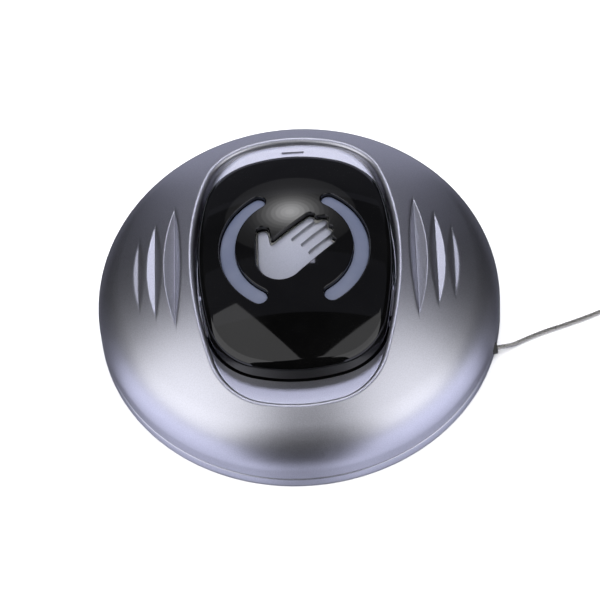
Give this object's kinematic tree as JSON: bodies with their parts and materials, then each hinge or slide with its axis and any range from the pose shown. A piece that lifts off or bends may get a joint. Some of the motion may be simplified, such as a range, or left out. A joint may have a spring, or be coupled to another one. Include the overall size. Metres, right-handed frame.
{
  "type": "hand-press push button",
  "caption": "Round domed push button for a wall, with a black press plate marked by a hand, two arc light guides, ribbed sides and a thin antenna lead.",
  "frame": {"origin": "centre of the base's flat underside, which lies against the wall", "axes": "+Z out of the wall through the push plate, +Y up the wall towards the push plate's hinge, +X to the right, where the antenna lead leaves"},
  "size_m": [0.1658, 0.115, 0.0366],
  "materials": {
    "silver_paint": "satin silver metallic paint with a fine flake on moulded plastic",
    "gloss_black": "mirror-gloss black moulded plastic",
    "inlay_silver": "satin bright silver paint",
    "guide_grey": "translucent grey-blue, satin",
    "steel": "bright zinc plated",
    "black_plastic": "moulded, fine grain",
    "white_plastic": "moulded, natural",
    "board_green": "solder-masked glass laminate",
    "rubber": "matt black",
    "led_clear": "clear cast resin",
    "battery_wrap": "plastic sleeve over a steel can",
    "tinned_wire": "bare stranded, slightly dull"
  },
  "bodies": {
    "housing": {"base_plate": "silver_paint", "seal_ring": "rubber", "dome_cover": "silver_paint", "hinge_pin": "steel", "return_spring_left": "steel", "return_spring_right": "steel", "circuit_board": "board_green", "switch_body": "black_plastic", "led_upper_left": "led_clear", "led_upper_right": "led_clear", "led_lower_left": "led_clear", "led_lower_right": "led_clear", "encoder_chip": "black_plastic", "radio_shield_can": "steel", "crystal": "steel", "battery_holder": "black_plastic", "battery": "battery_wrap", "battery_contact_plate": "steel", "battery_contact_spring": "steel", "cover_screw_1": "steel", "cover_screw_2": "steel", "cover_screw_3": "steel", "cover_screw_4": "steel", "board_screw_1": "steel", "board_screw_2": "steel", "board_screw_3": "steel", "board_screw_4": "steel", "lead_grommet": "rubber", "antenna_tail": "tinned_wire", "antenna_lead": "tinned_wire", "antenna_coil": "tinned_wire", "antenna_end": "tinned_wire", "antenna_end_sleeve": "rubber", "coil_tie": "black_plastic"},
    "press_plate": {"push_plate": "gloss_black", "light_guide_left": "guide_grey", "light_guide_right": "guide_grey", "hand_inlay": "inlay_silver", "inlay_retainer": "white_plastic", "retainer_screw_lower": "steel", "retainer_screw_upper": "steel"},
    "plunger": {"switch_plunger": "white_plastic"}
  },
  "joints": [
    {"name": "press", "type": "hinge", "parent": "housing", "child": "press_plate", "pos_m": [0, 0.04, 0.0165], "axis": [1, 0, 0], "range_deg": [0, 1.5], "stiffness_Nm_per_rad": 1.3, "springref_deg": -5.73, "deforming": ["return_spring_left", "return_spring_right"]},
    {"name": "key_stroke", "type": "slide", "parent": "housing", "child": "plunger", "axis": [0, 0, -1], "range_m": [0, 0.00037]}
  ],
  "couplings": [
    {"joint": "key_stroke", "follows": "press", "m_per_rad": 0.014}
  ]
}
